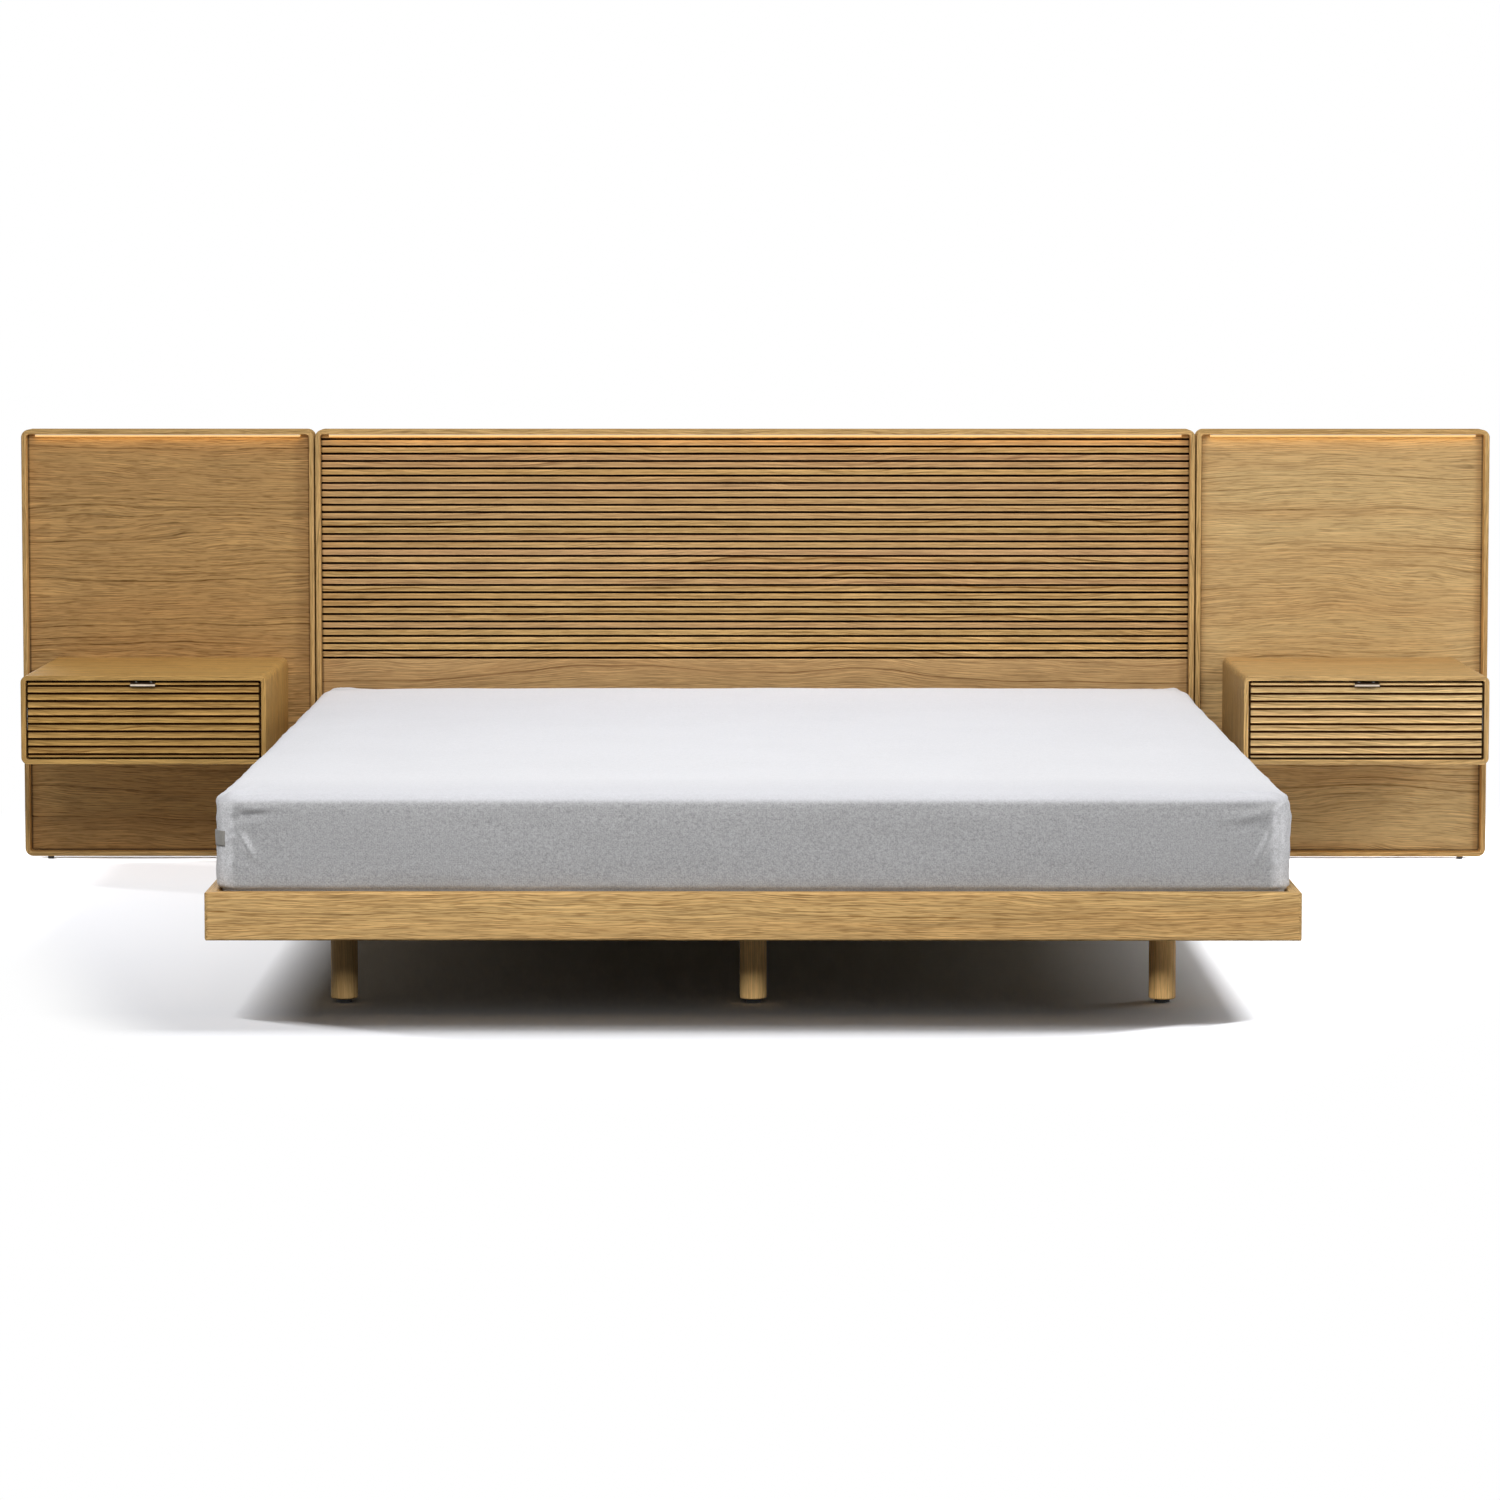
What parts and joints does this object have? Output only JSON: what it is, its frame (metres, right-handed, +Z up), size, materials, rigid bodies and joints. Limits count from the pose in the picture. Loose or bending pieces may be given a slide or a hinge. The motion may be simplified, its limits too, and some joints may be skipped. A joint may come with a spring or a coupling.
{
  "type": "bed with attached nightstands",
  "caption": "Low oak platform bed with a wide panelled headboard, fluted centre, warm light strips and wall-hung fluted nightstands with drawers.",
  "frame": {"origin": "on the floor, in the middle of the footprint", "axes": "+X to the right as seen from the foot of the bed, along the headboard; +Y from the foot towards the wall; +Z up"},
  "size_m": [3.086, 2.11, 0.91],
  "materials": {
    "oak_frame": "satin",
    "oak_fluted": "satin",
    "oak_board": "satin",
    "oak_shell": "satin",
    "oak_rail": "satin",
    "oak_leg": "satin",
    "pine": "matte",
    "plywood": "matte",
    "zinc_steel": "satin",
    "light_channel": "satin",
    "light_diffuser": "matte",
    "glide_plastic": "matte",
    "grommet_rubber": "matte",
    "bronze_pull": "satin",
    "linen": "matte"
  },
  "bodies": {
    "bed": {"centre_panel_frame": "oak_frame", "left_panel_frame": "oak_frame", "right_panel_frame": "oak_frame", "centre_panel_board": "oak_fluted", "left_panel_board": "oak_board", "right_panel_board": "oak_board", "left_nightstand_back": "oak_board", "right_nightstand_back": "oak_board", "left_nightstand_shell": "oak_shell", "right_nightstand_shell": "oak_shell", "left_side_rail": "oak_rail", "right_side_rail": "oak_rail", "foot_rail": "oak_rail", "head_rail": "oak_rail", "front_left_leg": "oak_leg", "front_middle_leg": "oak_leg", "front_right_leg": "oak_leg", "centre_leg": "oak_leg", "rear_left_leg": "oak_leg", "rear_middle_leg": "oak_leg", "rear_right_leg": "oak_leg", "back_battens": "pine", "slat_ledgers": "pine", "centre_beam": "pine", "cross_bearers": "pine", "left_slats": "plywood", "right_slats": "plywood", "joining_bolts": "zinc_steel", "wall_hangers": "zinc_steel", "bed_brackets": "zinc_steel", "nightstand_plates": "zinc_steel", "nightstand_bolts": "zinc_steel", "runner_screws": "zinc_steel", "corner_brackets": "zinc_steel", "frame_screws": "zinc_steel", "leg_bolts": "zinc_steel", "left_outer_runners": "zinc_steel", "right_outer_runners": "zinc_steel", "light_channels": "light_channel", "light_diffusers": "light_diffuser", "headboard_glides": "glide_plastic", "leg_glides": "glide_plastic", "cable_grommet": "grommet_rubber", "mattress": "linen"},
    "left_drawer": {"left_inner_runners": "zinc_steel", "left_drawer_front": "oak_fluted", "left_drawer_sides": "plywood", "left_drawer_back": "plywood", "left_drawer_bottom": "plywood", "left_drawer_pull": "bronze_pull", "left_drawer_screws": "zinc_steel"},
    "right_drawer": {"right_inner_runners": "zinc_steel", "right_drawer_front": "oak_fluted", "right_drawer_sides": "plywood", "right_drawer_back": "plywood", "right_drawer_bottom": "plywood", "right_drawer_pull": "bronze_pull", "right_drawer_screws": "zinc_steel"},
    "left_runner": {"left_middle_runners": "zinc_steel"},
    "right_runner": {"right_middle_runners": "zinc_steel"}
  },
  "joints": [
    {"name": "left_drawer_slide", "type": "slide", "parent": "bed", "child": "left_drawer", "axis": [0, -1, 0], "range_m": [0, 0.35]},
    {"name": "left_runner_slide", "type": "slide", "parent": "bed", "child": "left_runner", "axis": [0, -1, 0], "range_m": [0, 0.175]},
    {"name": "right_drawer_slide", "type": "slide", "parent": "bed", "child": "right_drawer", "axis": [0, -1, 0], "range_m": [0, 0.35]},
    {"name": "right_runner_slide", "type": "slide", "parent": "bed", "child": "right_runner", "axis": [0, -1, 0], "range_m": [0, 0.175]}
  ],
  "couplings": [
    {"joint": "left_runner_slide", "follows": "left_drawer_slide", "ratio": 0.5},
    {"joint": "right_runner_slide", "follows": "right_drawer_slide", "ratio": 0.5}
  ]
}
